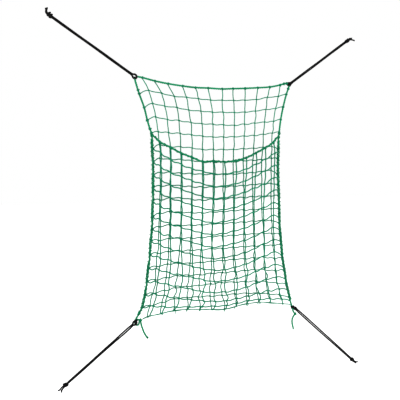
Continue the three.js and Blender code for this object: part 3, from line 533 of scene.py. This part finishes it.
for key, c in CORNERS.items():
    at, d, side = xz(c["at"]), c["d"], c["side"]
    # the hitch: an eye that opens round a hole
    b = Build()
    R = c["ring"]
    s0 = c["s0"]
    thick = {"tl": 1.52, "tr": 1.25, "bl": 1.62, "br": 1.15}[key]
    eye = [on(key, s0 + 3.2, 2.3), on(key, s0 + 0.5, 2.4), on(key, R * 0.80, R * 0.62, -0.6)]
    for deg in (62, 88, 114, 140, 165, 195, 220, 246, 272, 298):
        a = math.radians(deg)
        y = -2.6 * math.exp(-(((deg - 180) / 42.0) ** 2)) + 1.2 * math.exp(-(((deg - 180) / 42.0) ** 2 - 2.2) ** 2)
        eye.append(on(key, R * math.cos(a), R * math.sin(a) * (0.94 if key in ("tl", "bl") else 1.0), y))
    eye += [on(key, R * 0.80, -R * 0.62, -0.6), on(key, s0 + 0.5, -2.4), on(key, s0 + 3.2, -2.3)]
    eye = spline(eye, 0.7)
    f = np.linspace(0, 1, len(eye))
    b.tube(eye, CORD_R * (1.04 + (thick - 1.04) * np.sin(math.pi * f) ** 0.6), BRAID, braid=3.0)
    if key in ("tr", "br"):
        # the eye is drawn shut: its turns fill it
        lump = trefoil(on(key, 1.5 if key == "tr" else 5.2, 0.0, -1.4), (0.2, 1.0, 0.3), 1.15 if key == "tr" else 1.3, 1.6, roll=0.6)
        b.tube(spline(lump, 0.8), CORD_R * 0.9, BRAID, braid=3.0, ends=(1, 1))
    o = b.make(f"elastic_{key}_hitch", [BLACK])
    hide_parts(f"cord_{key}_hitch")
    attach(o, f"hitch_{key}")
    # turns of the cord round the green rope, which the eye draws tight
    b = Build()
    for cx, cz, tx, tz, rad, turns, pitch, r in {
        "tl": ((-300.2, 425.6, 0.62, 0.78, 3.4, 1.6, 3.6, 0.95),),
        "tr": ((286.8, 431.0, 1.0, 0.05, 4.3, 1.4, 4.0, 1.0), (290.6, 426.6, 0.45, 0.9, 4.5, 1.9, 4.0, 1.0)),
        "bl": ((-305.5, -425.8, 0.5, 0.87, 3.9, 1.9, 4.1, 1.0),),
        "br": ((316.2, -429.4, -0.35, 1.0, 4.8, 2.2, 4.2, 1.05), (322.0, -433.0, -0.72, 0.68, 3.6, 2.0, 4.2, 1.1)),
    }[key]:
        ax = np.array((tx, 0.0, tz))
        ax /= np.linalg.norm(ax)
        w = np.array((-ax[2], 0.0, ax[0]))
        q = np.linspace(0, 1, int(26 * turns))
        pts = [np.array((cx, 0.0, cz)) + ax * ((k - 0.5) * pitch * turns) + rad * (w * math.cos(2 * math.pi * turns * k) + np.array((0, 1.0, 0)) * math.sin(2 * math.pi * turns * k)) for k in q]
        b.tube(spline(pts, 0.8), CORD_R * r, BRAID, braid=3.0, ends=(1, 1))
    o = b.make(f"corner_wrap_{key}", [BLACK])
    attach(o, "net")

    # the stopper knot, tied in both strands together
    b = Build()
    k = xz(c["knot"])
    size = {"tl": 2.0, "tr": 1.75, "bl": 2.0, "br": 1.9}[key]
    for i, (dy, roll) in enumerate(((-1.1, 0.2), (1.3, 0.5))):
        axis = d * 0.75 + np.array((0, 0.5 if key != "tr" else -0.4, 0)) + side * (0.35 if i else 0.2)
        path = trefoil(k + np.array((0, dy * 1.6, 0)) + d * (3.6 if i else -3.2) + (np.array((0, 0, 3.0)) if key == "tl" and i else 0), axis, size, 4.6, n=60, roll=roll + {"tl": 0, "tr": 1.1, "bl": 2.0, "br": 2.9}[key], lean=0.4 * i)
        b.tube(spline(path, 0.8), CORD_R * 1.08, BRAID, braid=3.0, ends=(1, 1))
    # the strands running in
    for n, sign in (("a", 1), ("b", -1)):
        p = c["strands"][0 if sign > 0 else 1][1]
        run = np.vstack([p[-6], p[-1], k + side * sign * 1.2 - d * 2.5, k + d * 1.0])
        b.tube(spline(run, 0.8), CORD_R * 0.96, BRAID, braid=3.0)
    o = b.make(f"elastic_{key}_knot", [BLACK])
    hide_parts(f"cord_{key}_end_knot")
    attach(o, f"end_{key}")

    for i, n in enumerate("ab"):
        y = (-1.7, 1.7)[i]
        tip = xz(c["tails"][i], y)
        mean = xz(0.5 * (np.array(c["tails"][0]) + np.array(c["tails"][1])), y)
        out = side * (1.9 if i == 0 else -1.9)
        start = k + d * 4.0 + out + np.array((0, y * 0.5, 0))
        q = k + d * 13.5 + out + np.array((0, y * 0.5, 0))
        path = spline([start, k + d * 9.5 + out + np.array((0, y * 0.5, 0)), q * 0.8 + tip * 0.2, q * 0.3 + tip * 0.3 + mean * 0.4 + out * 0.3, tip], 0.75)
        b = Build()
        b.tube(path, CORD_R * 1.06, BRAID, braid=3.0)
        # the cut end: a short collar and the rubber core
        e = path[-1] - path[-3]
        e /= np.linalg.norm(e)
        b.tube(np.array([tip - e * 0.6, tip + e * 0.1, tip + e * 0.5]), np.array((2.5, 2.46, 2.1)), ROUND, mat=0)
        b.tube(np.array([tip + e * 0.2, tip + e * 0.6, tip + e * 0.85]), np.array((1.75, 1.7, 1.35)), ROUND, mat=1)
        o = b.make(f"elastic_{key}_tail_{n}", [BLACK, CORE])
        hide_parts(f"cord_{key}_tail_{n}")
        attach(o, f"end_{key}")

    for i, (o, path) in enumerate(c["strands"]):
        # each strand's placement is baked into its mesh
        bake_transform(o)


# ---- green rope tails -------------------------------------------------------
def tail(name, node, body, pts, knob):
    path = spline([xz(p, EDGE_Y) for p in pts], 0.9)
    b = Build()
    b.tube(path, 3.15, ROPE, lay=19, tone=0.45, ends=(0.5, 1.2))
    o = b.make(name, [ROPE_GREEN])
    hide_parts(node)
    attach(o, body)
    end = path[-1]
    b = Build()
    neck = xz(LEFT_KNOT if knob else RIGHT_KNOT, EDGE_Y)
    b.tube(spline([neck, neck * 0.4 + path[0] * 0.6, path[2]], 0.9), 2.9, ROPE, lay=19, tone=0.45)
    if knob:
        # the knob gets a lower tone than its rope: painted shade for its self-shadowing
        b.tube(spline(trefoil(end + np.array((0.6, 0, -1.0)), (0.4, 0.1, -1), 1.0, 1.7, roll=0.4), 0.7), 1.7, TWINE, lay=11, tone=0.2, ends=(0.6, 0.6))
    else:
        # a few yarns frayed out of the cut end
        for k in range(7):
            a = 2 * math.pi * k / 7
            q = [end + np.array((1.3 * math.cos(a), 1.3 * math.sin(a), 1.5)), end + np.array((1.9 * math.cos(a) + 0.4, 1.9 * math.sin(a), -2.0)), end + np.array((2.6 * math.cos(a) + 1.0, 2.4 * math.sin(a), -5.0 - rng.uniform(0, 2)))]
            b.tube(spline(q, 0.6), 0.75, TWINE, lay=6, tone=0.6, ends=(0, 0.8))
    e = b.make(name + "_end", [ROPE_GREEN])
    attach(e, body)


tail("rope_tail_bl", "rope_tail_left", "tail_left", LEFT_TAIL, True)
tail("rope_tail_br", "rope_tail_right", "tail_right", RIGHT_TAIL, False)

# ---- border ropes -----------------------------------------------------------
left_rope = spline([(-301.4, 425.4)] + list(LEFT_ROPE) + list(LEFT_TURN) + [(-293.5, -424)], 1.5)
right_rope = spline([(290.6, 425.0)] + list(RIGHT_ROPE) + list(RIGHT_TURN) + [(324, -454.5)], 1.5)
top_rope = spline([(-299, 430.2)] + list(TOP_ROPE) + [(287.5, 431.2)], 1.5)


def at_z(path, z):
    i = int(np.argmin(np.abs(path[:, 2] - z)))
    a = path[max(i - 2, 0)]
    b = path[min(i + 2, len(path) - 1)]
    return path[i], (b - a) / np.linalg.norm(b - a)


def at_x(path, x):
    i = int(np.argmin(np.abs(path[:, 0] - x)))
    a = path[max(i - 2, 0)]
    b = path[min(i + 2, len(path) - 1)]
    return path[i], (b - a) / np.linalg.norm(b - a)


def wrap(b, p, t, radius, r, turns, pitch, tone, mat=1, phase=None, tuck=True):
    """A few turns of twine round a rope at p, along t."""
    ref = np.array((0.0, 1.0, 0.0))
    u = ref - (ref @ t) * t
    u /= np.linalg.norm(u)
    w = np.cross(t, u)
    ph = rng.uniform(0, 6.28) if phase is None else phase
    q = np.linspace(0, 1, int(14 * turns))
    a = 2 * math.pi * turns * q + ph
    rr = radius * (1 - 0.12 * np.clip(np.abs(q - 0.5) * 2 - 0.7, 0, 1) / 0.3)
    pts = p + t * ((q - 0.5) * pitch * turns)[:, None] + (rr * np.cos(a))[:, None] * u + (rr * np.sin(a))[:, None] * w
    b.tube(spline(pts, 1.0), r, TWINE, lay=12, tone=tone, mat=mat, ends=(0.8, 0.8))


def hitch(b, p, t, toward, rope_r, tone, size=1.0):
    """A clove hitch: two turns round the rope and a knot where the mesh leaves."""
    turns = rng.uniform(1.6, 2.3)
    wrap(b, p, t, rope_r + 0.75, 1.25 * size, turns, 2.6, tone)
    ref = np.array((0.0, 1.0, 0.0))
    w = np.cross(t, ref)
    w /= np.linalg.norm(w)
    if w @ toward < 0:
        w = -w
    knot = p + w * (rope_r + 0.9) + ref * rng.uniform(-1.2, -0.2)
    b.tube(spline(trefoil(knot, t * 0.7 + w * 0.5 + ref * rng.uniform(-0.4, 0.4), 0.58 * size, 0.9, n=26, roll=rng.uniform(0, 6)), 0.9), 1.15 * size, TWINE, lay=10, tone=tone, mat=1, ends=(0.6, 0.6))


def smooth_line(p, times):
    for _ in range(times):
        q = p.copy()
        q[1:-1] = 0.25 * p[:-2] + 0.5 * p[1:-1] + 0.25 * p[2:]
        p = q
    return p


def lacing(b, path, radius, r, pitch, tone, mat=1):
    t, n, bb = turned(path)
    s = np.r_[0, np.cumsum(np.linalg.norm(np.diff(path, axis=0), axis=1))]
    a = 2 * math.pi * s / pitch
    pts = path + radius * (np.cos(a)[:, None] * n + np.sin(a)[:, None] * bb)
    b.tube(pts, r, TWINE, lay=12, tone=tone, mat=mat, ends=(1, 1))


def rope_piece(name, node, path, hitches):
    b = Build()
    b.tube(path, 3.4, ROPE, lay=21, tone=0.5, ends=(1, 1), wobble=0.012)
    for p, t, toward, size in hitches:
        hitch(b, p, t, np.asarray(toward, float), 3.2, rng.uniform(0.3, 0.6), size)
    o = b.make(name, [ROPE_GREEN, TWINE_GREEN])
    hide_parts(node)
    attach(o, "net")
    return o


hl = [(*at_z(left_rope, z), (1, 0, 0), rng.uniform(0.9, 1.12)) for z in LEFT_TIE_Z]
# stray knots that stand out from the ropes
hl += [(*at_z(left_rope, z), (side, 0, 0), size) for z, side, size in ((385, 1, 0.9), (281, -1, 1.15), (252, 1, 1.1), (-36, -1, 1.0), (-168, -1, 1.05), (-399.5, -1, 1.25))]
hr = [(*at_z(right_rope, z), (-1, 0, 0), rng.uniform(0.9, 1.12)) for z in RIGHT_TIE_Z]
hr += [(*at_z(right_rope, z), (side, 0, 0), size) for z, side, size in ((412, -1, 1.0), (243, 1, 1.15), (-62, 1, 1.0), (-141, 1, 1.2), (-221, 1, 1.2))]
ht = [(*at_x(top_rope, x), (0, 0, -1), rng.uniform(0.7, 0.9)) for x in BACK_X[0]]
ht += [(*at_x(top_rope, x), (0, 0, -1), 0.9) for x in (268.0, 279.0)]
rope_piece("rope_left", "border_rope_left", left_rope, hl)
rope_piece("rope_right", "border_rope_right", right_rope, hr)
rope_piece("rope_top", "border_rope_top", top_rope, ht)

# ---- side lacing ------------------------------------------------------------
for name, node, rope, side, top, bottom in (("side_lacing_l", "side_lacing_left", left_rope, -1, 219, -408), ("side_lacing_r", "side_lacing_right", right_rope, 1, 218, -402)):
    part = rope[(rope[:, 2] < top) & (rope[:, 2] > bottom)]
    t, n, bb = turned(part)
    s = np.r_[0, np.cumsum(np.linalg.norm(np.diff(part, axis=0), axis=1))]
    out = np.cross(t, np.array((0.0, 1.0, 0.0)))
    out *= np.sign(out[:, :1] * side)
    swing = 0.45 * np.sin(s / 17.0 + side) + 0.30 * np.sin(s / 7.0)
    a = -0.35 + swing
    path = part + 4.9 * (out * np.cos(a)[:, None] + np.array((0.0, 1.0, 0.0)) * np.sin(a)[:, None])
    b = Build()
    b.tube(smooth_line(path, 2), 1.85, ROPE, lay=14, tone=0.55, ends=(1.5, 1.5), wobble=0.02)
    # a fine twine that whips it to the rope
    w = 2 * math.pi * s / 15.5 + 0.8 * np.sin(s / 41.0)
    c = part + out * 1.7 + np.array((0, -0.5, 0))
    c = c + 6.3 * np.cos(w)[:, None] * out + 4.9 * np.sin(w)[:, None] * np.array((0.0, 1.0, 0.0))
    b.tube(c, 0.95, TWINE, lay=9, tone=0.4, mat=1, ends=(1, 1))
    o = b.make(name, [ROPE_GREEN, TWINE_GREEN])
    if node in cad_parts:
        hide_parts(node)
    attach(o, "net")

# ---- netting ----------------------------------------------------------------
TW = 1.75          # twine radius, back panel
TWF = 2.3          # and of the pocket, which stands nearer
STEP = 1.7
LAY = 13.0


def depth(k, j):
    return -(FRONT_BASE + BULGE_SHARE[k] * BULGE[j])


back = np.zeros((19, 12, 3))
for r in range(19):
    for j in range(12):
        back[r, j] = (BACK_X[r][j], 0 if r < 18 else EDGE_Y + 0.4, BACK_Z[r][j])
front = np.zeros((15, 12, 3))
back[6:, :, 0] -= 1.0
for r in range(14):
    for j in range(12):
        front[r, j] = (FRONT_X[r][j] + 1.4, depth(r, j), FRONT_Z[r][j])
for j in range(12):
    front[14, j] = (FRONT_X[13][j] * 0.25 + BACK_X[18][j] * 0.75, EDGE_Y - 1.5, BACK_Z[18][j] + 0.5)


def across(knots, left, right, slack, panel):
    """One row's twine, from rope to rope: each mesh dips as it leaves a knot and rises to the next."""
    pts = [left] + [k for k in knots] + [right]
    out = []
    last = len(pts) - 2
    for i in range(len(pts) - 1):
        a, b = np.asarray(pts[i], float), np.asarray(pts[i + 1], float)
        L = np.linalg.norm(b - a)
        n = max(int(L / STEP), 4)
        t = np.linspace(0, 1, n, endpoint=i == last)
        edge = {0: 1.0, 1: 0.9, 2: 0.6, last: 1.0, last - 1: 0.7, last - 2: 0.5}.get(i, 0.0)
        amp = slack * rng.uniform(0.45, 1.15) * (1 + (1.1 if panel == "front" else 0.15) * edge)
        sag = slack * rng.uniform(0.0, 0.6)
        skew = rng.uniform(0.85, 1.2)
        z = -amp * np.sin(2 * math.pi * t**skew) - sag * 4 * t * (1 - t)
        if i == 0:
            if panel == "front":
                z = -(3.0 + rng.uniform(0, 1.6)) * np.sin(2 * math.pi * t**0.9) * 0.9
            else:
                z = (2.6 + rng.uniform(0, 1.8)) * np.sin(math.pi * t**0.75) - 0.5 * amp * np.sin(2 * math.pi * t)
        elif i == last:
            z = (2.4 + rng.uniform(0, 1.8)) * np.sin(math.pi * t**0.65) * (1 if panel == "front" else 0.35) - (0.2 if panel == "front" else 0.8) * amp * np.sin(2 * math.pi * t)
        y = rng.uniform(-0.8, 0.8) * np.sin(math.pi * t) + rng.uniform(-0.3, 0.3) * np.sin(2 * math.pi * t)
        p = a + (b - a) * t[:, None]
        p[:, 2] += z
        p[:, 1] += y - 0.9 * np.cos(2 * math.pi * t)
        out.append(p)
    return smooth(np.vstack(out), 3)


def down(knots, slack):
    """One column's twine: nearly straight where it hangs, bowed to and fro where the net bunches near the fold."""
    out = []
    for i in range(len(knots) - 1):
        a, b = knots[i], knots[i + 1]
        L = np.linalg.norm(b - a)
        n = max(int(L / STEP), 4)
        t = np.linspace(0, 1, n, endpoint=i == len(knots) - 2)
        p = a + (b - a) * t[:, None]
        low = np.clip((-120.0 - 0.5 * (a[2] + b[2])) / 220.0, 0, 1)
        middle = 1 - abs(0.5 * (a[0] + b[0])) / 420.0
        bow = rng.normal(0, 0.55) + rng.choice((-1, 1)) * rng.uniform(1.2, 4.2) * low * middle
        p[:, 0] += slack * (bow * np.sin(math.pi * t) + rng.normal(0, 0.4 + 0.6 * low) * np.sin(2 * math.pi * t))
        p[:, 1] += rng.normal(0, 0.4) * np.sin(math.pi * t) + 0.9 * np.cos(2 * math.pi * t)
        out.append(p)
    return smooth(np.vstack(out), 3)


def smooth(p, times):
    for _ in range(times):
        q = p.copy()
        q[1:-1] = 0.25 * p[:-2] + 0.5 * p[1:-1] + 0.25 * p[2:]
        p = q
    return p


def net_knot(b, p, size, tone, mat=0):
    """A sheet bend pulled tight, with the two twines' turns standing out."""
    axis = np.array((rng.normal(0, 0.25), -1.0, rng.normal(0, 0.25)))
    path = trefoil(p, axis, 0.80 * size * rng.uniform(0.9, 1.1), 1.15 * size, n=30, roll=rng.uniform(0, 6.28), lean=rng.uniform(0, 1))
    b.tube(spline(path, 1.15), 1.38, TWINE, lay=10, tone=tone, mat=mat, ends=(0.6, 0.6))


rows = Build()
cols = Build()
knots = Build()
for r in range(1, 18):
    lp, _ = at_z(left_rope, LEFT_TIE_Z[r - 1])
    rp, _ = at_z(right_rope, RIGHT_TIE_Z[r - 1])
    lp = lp + np.array((3.4, -0.6, 0))
    rp = rp + np.array((-3.4, -0.6, 0))
    rows.tube(across(back[r], lp, rp, 0.9 if r < 3 else 1.5 if r < 6 else 1.9, "back"), TW if r < 6 else 2.0, TWINE, lay=LAY, tone=rng.uniform(0.35, 0.65), spin=rng.uniform(0, 6))
    for j in range(12):
        # the knots get a lower tone than the strands: painted shade for their self-shadowing
        net_knot(knots, back[r, j], 1.0 if r < 6 else 1.12, rng.uniform(0.15, 0.45))
for j in range(12):
    line = back[:, j].copy()
    line[0] = at_x(top_rope, line[0, 0])[0] + np.array((0, 0, -3.2))
    line = down(line, 1.5)
    cols.tube(line, 1.78 + 0.27 * np.clip((230 - line[:, 2]) / 60, 0, 1), TWINE, lay=LAY, tone=rng.uniform(0.35, 0.65), spin=rng.uniform(0, 6))
for name, b in (("net_back_rows", rows), ("net_back_columns", cols), ("net_back_knots", knots)):
    o = b.make(name, [TWINE_GREEN])
    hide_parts("back_netting")
    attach(o, "net")

# front panel, in two halves, each between a side rope and the middle
MID = 0.5 * (front[:, 5, 0] + front[:, 6, 0])
halves = {"left": (Build(), Build(), Build()), "right": (Build(), Build(), Build())}
rim = spline(RIM_ROPE, 1.5)


def cut(p, side):
    """The part of a row on one side of the middle."""
    mid = 3.0
    k = int(np.argmin(np.abs(p[:, 0] - mid)))
    return p[: k + 1] if side == "left" else p[k:]


for r in range(1, 14):
    lp, _ = at_z(left_rope, LEFT_FRONT_Z[r])
    rp, _ = at_z(right_rope, RIGHT_FRONT_Z[r])
    lp = lp + np.array((2.6, -3.2, 0))
    rp = rp + np.array((-2.6, -3.2, 0))
    p = across(front[r], lp, rp, 1.7, "front")
    tone = rng.uniform(0.35, 0.65)
    for side in halves:
        halves[side][0].tube(cut(p, side), TWF, TWINE, lay=LAY, tone=tone, spin=1.0)
    for j in range(12):
        # the knots get a lower tone than the strands: painted shade for their self-shadowing
        net_knot(halves["left" if j < 6 else "right"][2], front[r, j], 1.18, rng.uniform(0.15, 0.45))
for j in range(12):
    line = front[:, j].copy()
    q, _ = at_x(rim, line[0, 0])
    line[0] = q + np.array((0, 0, -3.0))
    halves["left" if j < 6 else "right"][1].tube(down(line, 1.5), TWF, TWINE, lay=LAY, tone=rng.uniform(0.35, 0.65), spin=rng.uniform(0, 6))
for side, (a, b, c) in halves.items():
    start, end = ((-0.243, 0, 0), (-0.06, 0, 0)) if side == "left" else ((0.25, 0, 0), (0.07, 0, 0))
    for name, x in (("rows", a), ("columns", b), ("knots", c)):
        o = x.make(f"pocket_{side}_{name}", [TWINE_GREEN])
        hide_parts("pocket_netting")
        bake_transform(o)
    # rim rope, laced to the netting's edge
    b = Build()
    rp = cut(rim, side)
    b.tube(rp, 3.55, ROPE, lay=19, tone=0.45, ends=(1, 1) if side == "left" else (1, 1), wobble=0.015)
    lacing(b, rp, 3.95, 1.25, 21.0, 0.4)
    for j in range(12):
        x = FRONT_X[0][j]
        if (x < 3.0) == (side == "left"):
            p, t = at_x(rim, x)
            hitch(b, p, t, np.array((0, 0, -1.0)), 3.2, rng.uniform(0.3, 0.55), 0.95)
    o = b.make(f"pocket_{side}_rim", [ROPE_GREEN, TWINE_GREEN])
    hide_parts("pocket_rim_rope")
    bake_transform(o)

# ties of the rim rope to the side ropes
for side, rope, z, node, end in (("left", left_rope, 231.0, "rim_tie_left", rim[0]), ("right", right_rope, 230.0, "rim_tie_right", rim[-1])):
    b = Build()
    p, t = at_z(rope, z)
    wrap(b, p, t, 4.1, 1.9, 2.3, 3.9, 0.4, mat=0)
    k = (p + end) / 2 + np.array((0, -2.0, 0))
    # the knot gets a lower tone than its wrap: painted shade for its self-shadowing
    b.tube(spline(trefoil(k, (0.3, -1, 0.2), 0.95, 1.5, roll=0.5), 0.8), 1.9, TWINE, lay=13, tone=0.3, ends=(1, 1))
    o = b.make(f"rim_tie_{'l' if side == 'left' else 'r'}", [ROPE_GREEN])
    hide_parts(node)
    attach(o, "net")

# ---- bottom edge ------------------------------------------------------------
b = Build()
edge = spline([(-284, EDGE_Y, -422.5)] + [(BACK_X[18][j], EDGE_Y, BACK_Z[18][j]) for j in range(12)] + [(303, EDGE_Y, -418), (310.5, EDGE_Y, -423)], 1.6)
b.tube(edge, 1.65, TWINE, lay=LAY, tone=0.4, ends=(1, 1))
# the lacing twine that runs along it, loosely
s = np.r_[0, np.cumsum(np.linalg.norm(np.diff(edge, axis=0), axis=1))]
second = edge + np.stack([0 * s, -1.6 + 1.0 * np.sin(s / 19.0), 1.3 * np.sin(s / 31.0 + 1) + 1.0 * np.sin(s / 12.0)], 1)
b.tube(second, 1.25, TWINE, lay=LAY, tone=0.5, ends=(1, 1))
for j in range(12):
    p, t = at_x(edge, BACK_X[18][j])
    wrap(b, p + np.array((0, -0.8, 0)), t, 2.3, 1.1, 1.6, 2.4, 0.35, mat=0)
    # the knot gets a lower tone than the edge twine: painted shade for its self-shadowing
    net_knot(b, p + np.array((0, -1.4, 1.0)), 0.8, 0.3)
for x, z, lean in ((-211.4, -412.9, 0.2), (-159.8, -411.6, -0.3), (-118.4, -409.8, 0.1), (-68.3, -412.5, 0.2), (28.4, -421.5, 0.4), (71.4, -414.3, -0.3)):
    p, t = at_x(edge, x)
    tip = np.array((x + lean * 4, EDGE_Y - 1.5, z - 1.0))
    b.tube(spline([p + np.array((-0.6, -1, 0.5)), p * 0.5 + tip * 0.5 + np.array((0.8, -0.6, 0)), tip], 0.8), 1.25, TWINE, lay=10, tone=0.3, ends=(0, 0.9))
    # the knot gets a lower tone than the edge twine: painted shade for its self-shadowing
    b.tube(spline(trefoil(p + np.array((0, -1.2, -1.2)), (0, -1, 0.2), 0.7, 1.0, roll=rng.uniform(0, 6)), 0.9), 1.2, TWINE, lay=10, tone=0.25, ends=(0.6, 0.6))
for x, z, w, h in ((122.5, -410.4, 5.5, 6.0), (170.2, -407.9, 8.5, 6.5)):
    p, t = at_x(edge, x)
    loop = [p + np.array((-w * 0.6, -1, 0.6)), (x - w * 0.8, EDGE_Y - 1.6, p[2] - h * 0.45), (x - w * 0.15, EDGE_Y - 2, p[2] - h), (x + w * 0.75, EDGE_Y - 1.6, p[2] - h * 0.6), p + np.array((w * 0.65, -1, 0.5))]
    b.tube(spline(loop, 0.8), 1.15, TWINE, lay=10, tone=0.45, ends=(0.6, 0.6))
o = b.make("bottom_edge", [TWINE_GREEN])
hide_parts("bottom_edge_twine")
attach(o, "net")

# ---- bottom corner knots ----------------------------------------------------
b = Build()
kl = xz(LEFT_KNOT, EDGE_Y)
# the knot gets a lower tone than its eye: painted shade for its self-shadowing
b.tube(spline(trefoil(kl, (0.15, -0.6, -1), 1.3, 2.8, n=60, roll=0.4), 0.9), 3.0, ROPE, lay=18, tone=0.35, ends=(1, 1))
# the rope's eye, that the black cord hooks
eye = [(-305.5, -1.0, -420.5), (-308.5, 4.2, -426.5), (-308, 5.6, -436), (-304.5, 4.6, -442.0), (-299.5, 1.0, -442.6), (-296.0, -1.5, -438.5), (-294.6, -2.5, -432), (-292.5, -2.5, -426)]
b.tube(spline(eye, 0.9), 3.3, ROPE, lay=18, tone=0.45, ends=(1.2, 1.2))
o = b.make("corner_knot_bl", [ROPE_GREEN])
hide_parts("corner_knot_left")
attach(o, "net")
b = Build()
kr = xz(RIGHT_KNOT, EDGE_Y)
b.tube(spline(trefoil(kr, (-0.5, -0.7, -0.8), 1.25, 2.6, n=60, roll=1.4), 0.9), 2.6, ROPE, lay=18, tone=0.35, ends=(1, 1))
# a short cut stub on the knot's right
b.tube(spline([kr + np.array((2, 0, 0.5)), kr + np.array((4.2, -0.5, 0.8)), kr + np.array((5.6, -0.5, 0.4))], 0.8), 1.3, TWINE, lay=11, tone=0.4, ends=(0, 1))
o = b.make("corner_knot_br", [ROPE_GREEN])
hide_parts("corner_knot_right")
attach(o, "net")

bpy.context.scene.view_settings.view_transform = "Standard"
bpy.context.scene.view_settings.gamma = 0.72

# ---- light, floor -----------------------------------------------------------
world = bpy.data.worlds.new("world")
bpy.context.scene.world = world
world.use_nodes = True
world.node_tree.nodes["Background"].inputs[0].default_value = (1, 1, 1, 1)
world.node_tree.nodes["Background"].inputs[1].default_value = 1.0


def area(name, at, to, size, watts):
    d = bpy.data.lights.new(name, "AREA")
    d.shape = "DISK"
    d.size = size
    d.energy = watts
    o = bpy.data.objects.new(name, d)
    bpy.context.scene.collection.objects.link(o)
    o.location = at
    o.rotation_euler = (Vector(to) - Vector(at)).to_track_quat("-Z", "Y").to_euler()
    return o


area("key", (-1.6, -2.4, 2.6), (0, 0, 0), 1.6, 42)
area("fill", (2.2, -2.0, 0.8), (0, 0, 0), 2.0, 14)

mesh = bpy.data.meshes.new("floor")
mesh.from_pydata([(-12, -12, 0), (12, -12, 0), (12, 12, 0), (-12, 12, 0)], [], [(0, 1, 2, 3)])
floor = bpy.data.objects.new("floor", mesh)
bpy.context.scene.collection.objects.link(floor)
floor.location = (0, 0, -0.95)
fm = Nodes("floor_white")
fm.b.inputs["Base Color"].default_value = (0.93, 0.93, 0.93, 1)
fm.b.inputs["Roughness"].default_value = 0.9
fm.b.inputs["Specular IOR Level"].default_value = 0.0
fm.b.inputs["Emission Color"].default_value = (1, 1, 1, 1)
fm.b.inputs["Emission Strength"].default_value = 0.25
mesh.materials.append(fm.m)

bpy.context.view_layer.update()
